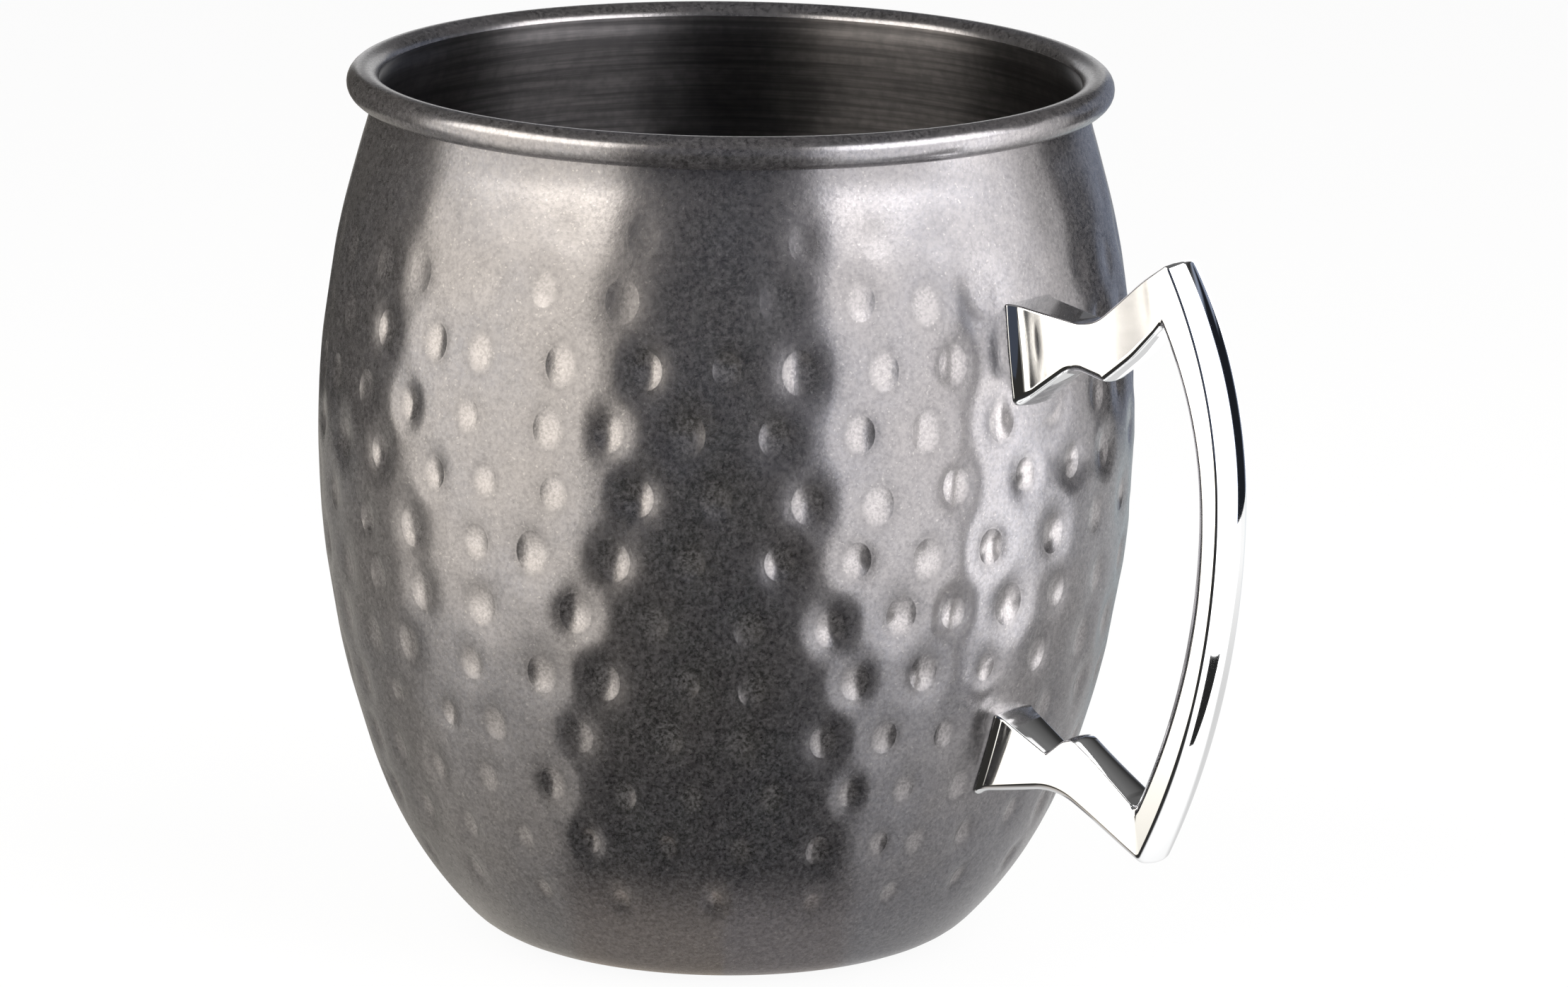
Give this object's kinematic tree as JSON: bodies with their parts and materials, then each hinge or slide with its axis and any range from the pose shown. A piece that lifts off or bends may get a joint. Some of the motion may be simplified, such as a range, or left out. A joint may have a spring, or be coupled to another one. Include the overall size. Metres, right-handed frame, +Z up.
{
  "type": "moscow mule mug",
  "caption": "Barrel-shaped hammered steel drinking mug with a rolled lip and an angular cast loop handle riveted to its side.",
  "frame": {"origin": "centre of the base, on the plane that the mug stands on", "axes": "+Z up along the cup's axis, +X towards the handle, +Y across the handle's plane"},
  "size_m": [0.1214, 0.0932, 0.1],
  "materials": {
    "gunmetal_steel": "hammered sheet steel with a dark antique gunmetal finish, fine sandy grain, satin gloss",
    "polished_chrome": "casting polished bright and chrome plated",
    "rivet_steel": "formed stainless rivet head, satin"
  },
  "bodies": {
    "root": {"cup_shell": "gunmetal_steel", "handle": "polished_chrome", "upper_rivet": "rivet_steel", "lower_rivet": "rivet_steel"}
  },
  "joints": []
}
